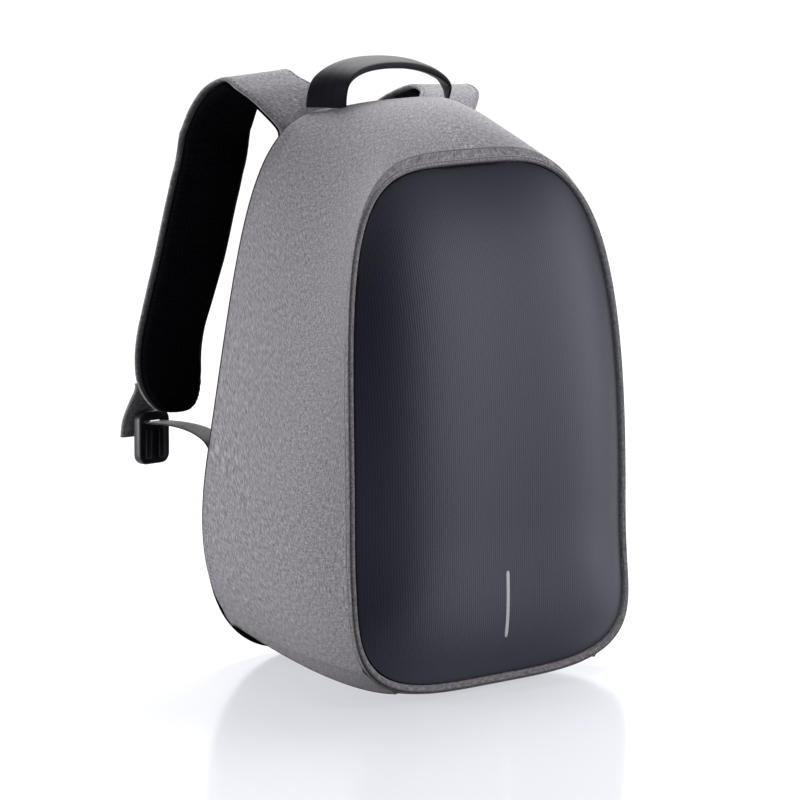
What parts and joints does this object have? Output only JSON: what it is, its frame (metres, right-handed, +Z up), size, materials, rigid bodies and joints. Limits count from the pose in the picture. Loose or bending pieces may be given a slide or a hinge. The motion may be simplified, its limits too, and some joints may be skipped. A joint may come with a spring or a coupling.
{
  "type": "anti-theft backpack",
  "caption": "Egg-shaped urban backpack in grey melange cloth with a domed charcoal front panel, padded back, loop handle and wide shoulder straps that end in buckles and webbing.",
  "frame": {"origin": "on the floor, in the middle of the flat patch under the bag, on its left-right middle line", "axes": "+Z up, -Y towards the front panel, +Y towards the wearer, +X to the right seen from the front"},
  "size_m": [0.2722, 0.2718, 0.4324],
  "materials": {
    "grey_melange_cloth": "matte two-tone weave with small flecks",
    "charcoal_ribbed_cloth": "satin, finely ribbed from top to bottom, backed by a stiff moulded panel",
    "reflective_tape": "silver-grey reflective transfer",
    "black_air_mesh": "matte spacer mesh",
    "black_webbing": "smooth dense band",
    "black_plastic": "moulded, faint sheen"
  },
  "bodies": {
    "root": {"body_shell": "grey_melange_cloth", "base_panel": "grey_melange_cloth", "front_rim": "grey_melange_cloth", "front_panel": "charcoal_ribbed_cloth", "reflective_strip": "reflective_tape", "back_piping": "black_webbing", "back_panel": "black_air_mesh", "handle_grip": "black_webbing", "handle_foot_left": "black_webbing", "handle_foot_right": "black_webbing", "strap_left": "grey_melange_cloth", "strap_mesh_left": "black_air_mesh", "strap_right": "grey_melange_cloth", "strap_mesh_right": "black_air_mesh", "strap_pocket": "grey_melange_cloth", "strap_tab_left": "grey_melange_cloth", "strap_tab_right": "grey_melange_cloth", "buckle_left": "black_plastic", "buckle_right": "black_plastic", "webbing_left": "black_webbing", "webbing_right": "black_webbing"}
  },
  "joints": []
}
